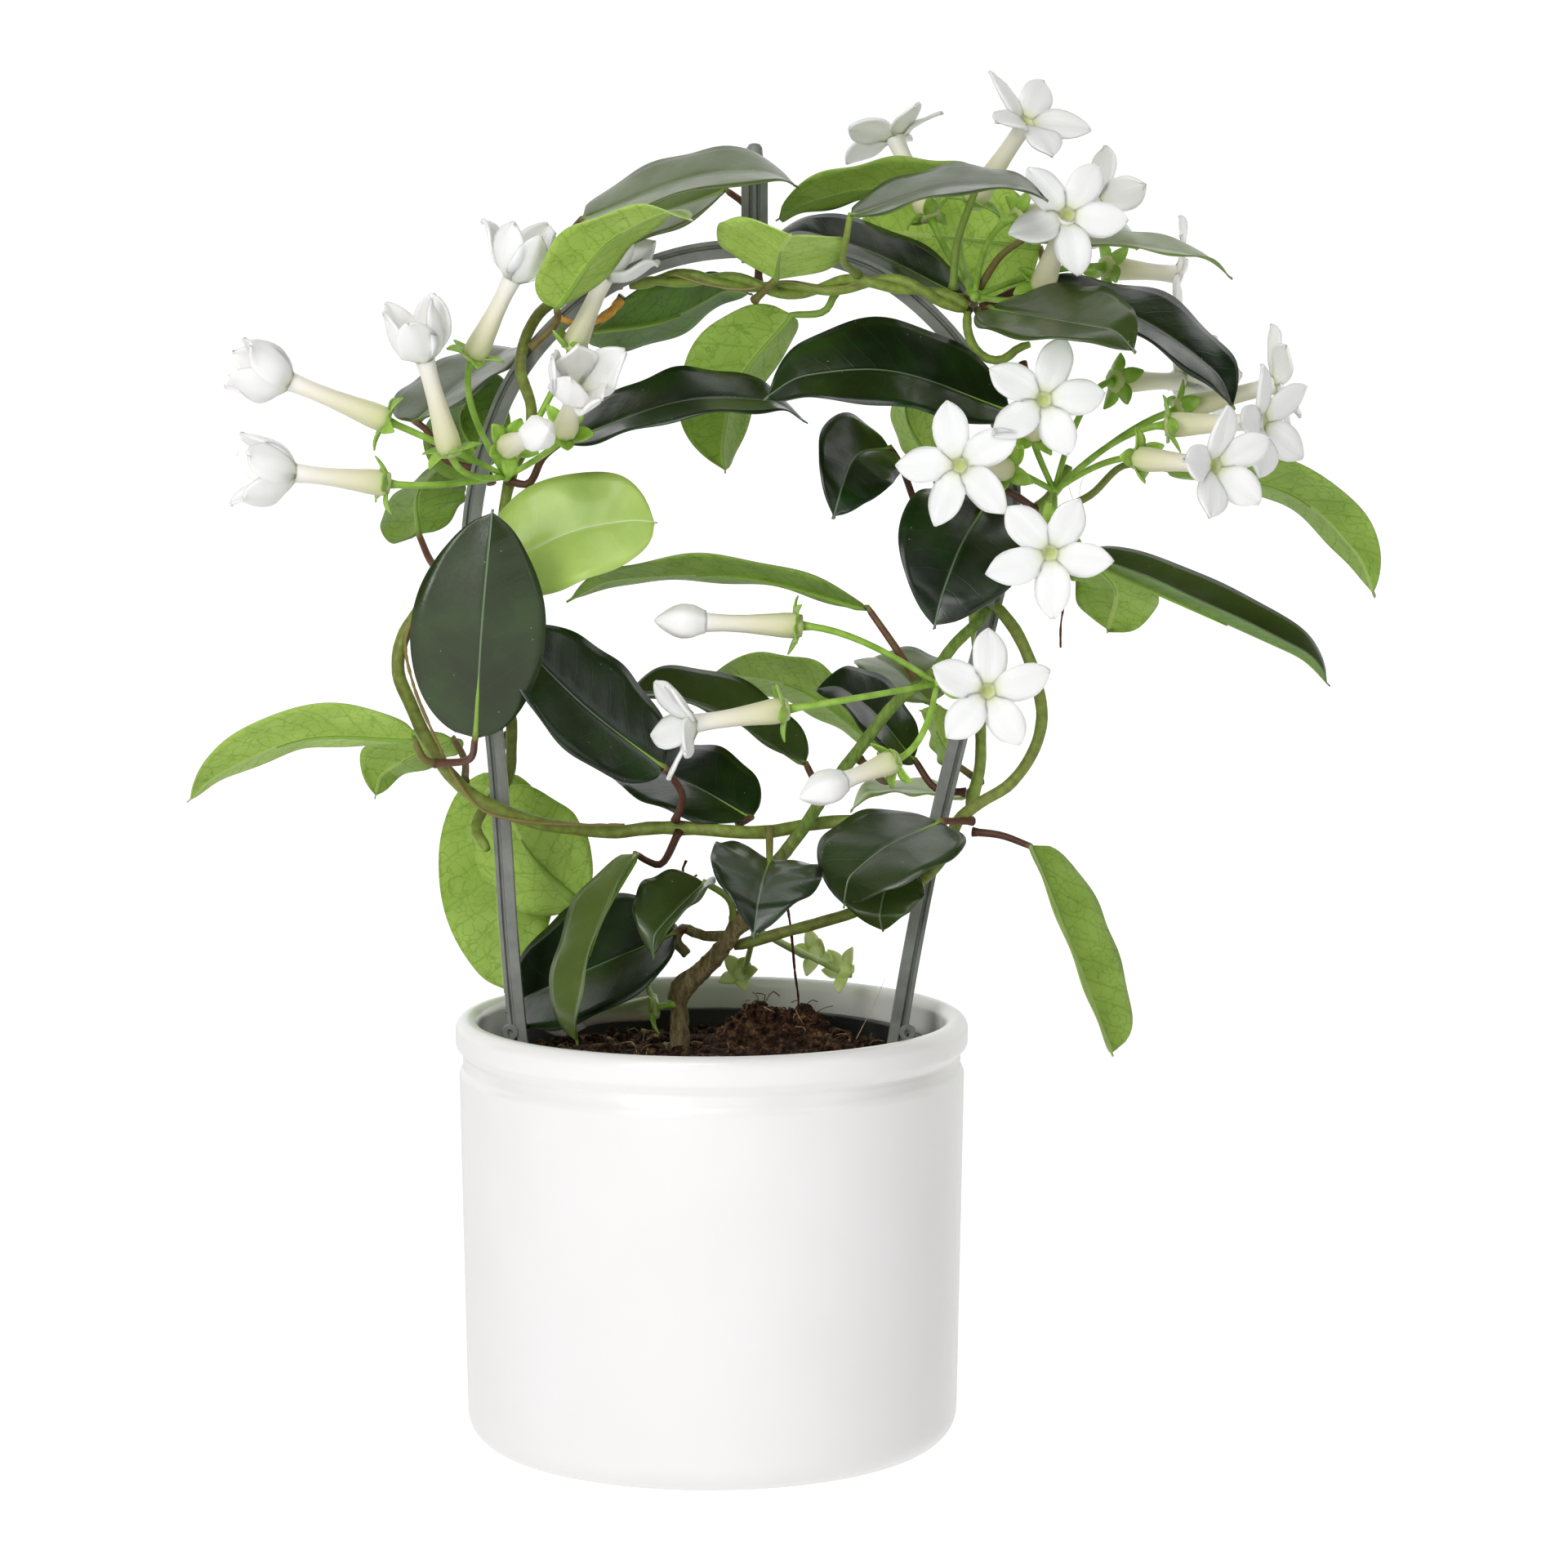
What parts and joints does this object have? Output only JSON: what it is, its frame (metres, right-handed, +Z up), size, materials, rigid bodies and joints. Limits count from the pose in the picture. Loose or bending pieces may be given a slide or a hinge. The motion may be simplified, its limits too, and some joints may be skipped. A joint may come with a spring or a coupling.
{
  "type": "potted madagascar jasmine",
  "caption": "Twining evergreen with leathery oval leaves and clusters of waxy white star flowers, trained on a plastic hoop in a glazed cover pot.",
  "frame": {"origin": "centre of the cover pot's flat underside", "axes": "+Z up along the pot's axis; the hoop stands in the XZ plane; the side with most flowers looks along -Y"},
  "size_m": [0.3292, 0.142, 0.3791],
  "materials": {
    "pot_glaze": "white glossy glaze over stoneware",
    "black_plastic": "thin moulded black plastic",
    "peat": "loose damp peat with fibres",
    "grey_plastic": "moulded grey plastic, satin",
    "bark": "rough brown bark",
    "green_stem": "smooth green twining stem",
    "leaf_dark": "leathery leaf, waxy shine above, matt below",
    "leaf_light": "young leaf or pale underside with a net of veins",
    "petal": "thick waxy white petal and pale tube"
  },
  "bodies": {
    "root": {"cover_pot": "pot_glaze", "grow_pot": "black_plastic", "soil": "peat", "support_hoop": "grey_plastic", "trunk": "bark", "left_loop": "green_stem", "left_shoot": "green_stem", "left_climber": "green_stem", "top_vine": "green_stem", "right_inner": "green_stem", "right_loop": "green_stem", "leaf_top_back": "leaf_dark", "leaf_top_front": "leaf_dark", "leaf_upper_left": "leaf_light", "leaf_under_top_vine": "leaf_light", "leaf_young_centre": "leaf_light", "leaf_top_right_green": "leaf_light", "leaf_top_right_grey": "leaf_dark", "leaf_top_right_veined": "leaf_light", "leaf_dark_twisted": "leaf_dark", "leaf_right_node_pair": "leaf_dark", "leaf_right_glossy": "leaf_dark", "leaf_right_top_thin": "leaf_light", "leaf_dark_centre": "leaf_dark", "leaf_hanging_folded": "leaf_light", "leaf_long_dark": "leaf_dark", "leaf_small_pair": "leaf_dark", "leaf_left_grey": "leaf_dark", "leaf_left_back": "leaf_dark", "leaf_left_folded": "leaf_dark", "leaf_left_bright": "leaf_light", "leaf_left_node_pair": "leaf_dark", "leaf_long_underside": "leaf_light", "leaf_right_dark": "leaf_dark", "leaf_far_right_veined": "leaf_light", "leaf_far_right_long": "leaf_dark", "leaf_right_pale_low": "leaf_light", "leaf_left_low_pale": "leaf_light", "leaf_mid_dark": "leaf_dark", "leaf_low_dark": "leaf_dark", "leaf_mid_grey": "leaf_dark", "leaf_mid_green": "leaf_light", "leaf_mid_textured": "leaf_dark", "leaf_mid_back_grey": "leaf_dark", "leaf_mid_back_pair": "leaf_light", "leaf_left_low_veined": "leaf_light", "leaf_left_low_back": "leaf_light", "leaf_left_low_narrow": "leaf_dark", "leaf_left_low_big": "leaf_dark", "leaf_low_small": "leaf_dark", "leaf_low_heart": "leaf_dark", "leaf_low_right": "leaf_dark", "leaf_low_right_under": "leaf_dark", "leaf_right_hanging": "leaf_light", "flowers_left": "petal", "flowers_top": "petal", "flowers_right": "petal", "flowers_middle": "petal", "flower_low": "petal", "young_cluster": "green_stem"}
  },
  "joints": []
}
